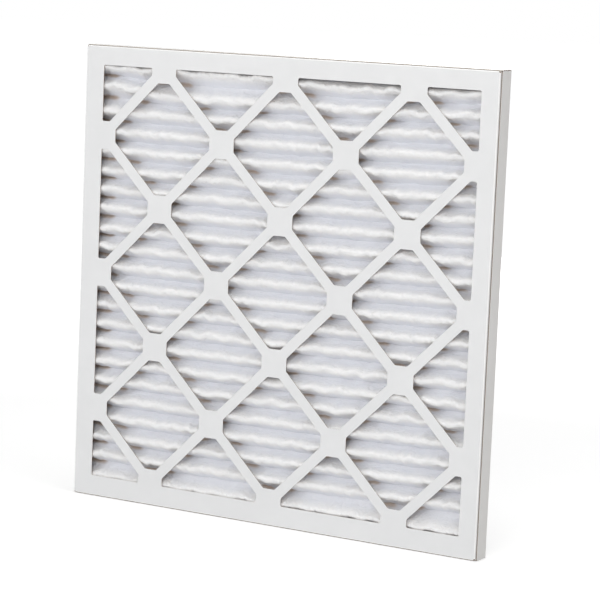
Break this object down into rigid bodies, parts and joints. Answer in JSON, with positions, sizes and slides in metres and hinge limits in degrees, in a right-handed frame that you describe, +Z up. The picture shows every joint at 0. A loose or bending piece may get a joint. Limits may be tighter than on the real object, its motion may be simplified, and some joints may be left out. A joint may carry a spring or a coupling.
{
  "type": "pleated panel air filter",
  "caption": "Square pleated air filter panel: white nonwoven media folded in a shallow two-piece die-cut board frame with a diamond lattice on both faces.",
  "frame": {"origin": "middle of the panel's bottom edge, halfway through its depth, where the panel stands", "axes": "+Z up the panel, +X across it along the pleats, +Y from the air-entering face to the air-leaving face"},
  "size_m": [0.3938, 0.019, 0.3937],
  "materials": {
    "front_board": "white clay-coated paperboard, smooth and matte",
    "rear_board": "white clay-coated paperboard, smooth and matte",
    "media": "lofted white nonwoven fibre sheet",
    "mesh_metal": "galvanised expanded metal",
    "adhesive": "dried off-white adhesive"
  },
  "bodies": {
    "root": {"front_frame": "front_board", "rear_frame": "rear_board", "pleated_media": "media", "support_mesh": "mesh_metal", "flap_glue_left": "adhesive", "flap_glue_right": "adhesive", "flap_glue_bottom": "adhesive", "flap_glue_top": "adhesive", "pack_seal_left": "adhesive", "pack_seal_right": "adhesive", "pack_seal_bottom": "adhesive", "pack_seal_top": "adhesive"}
  },
  "joints": []
}
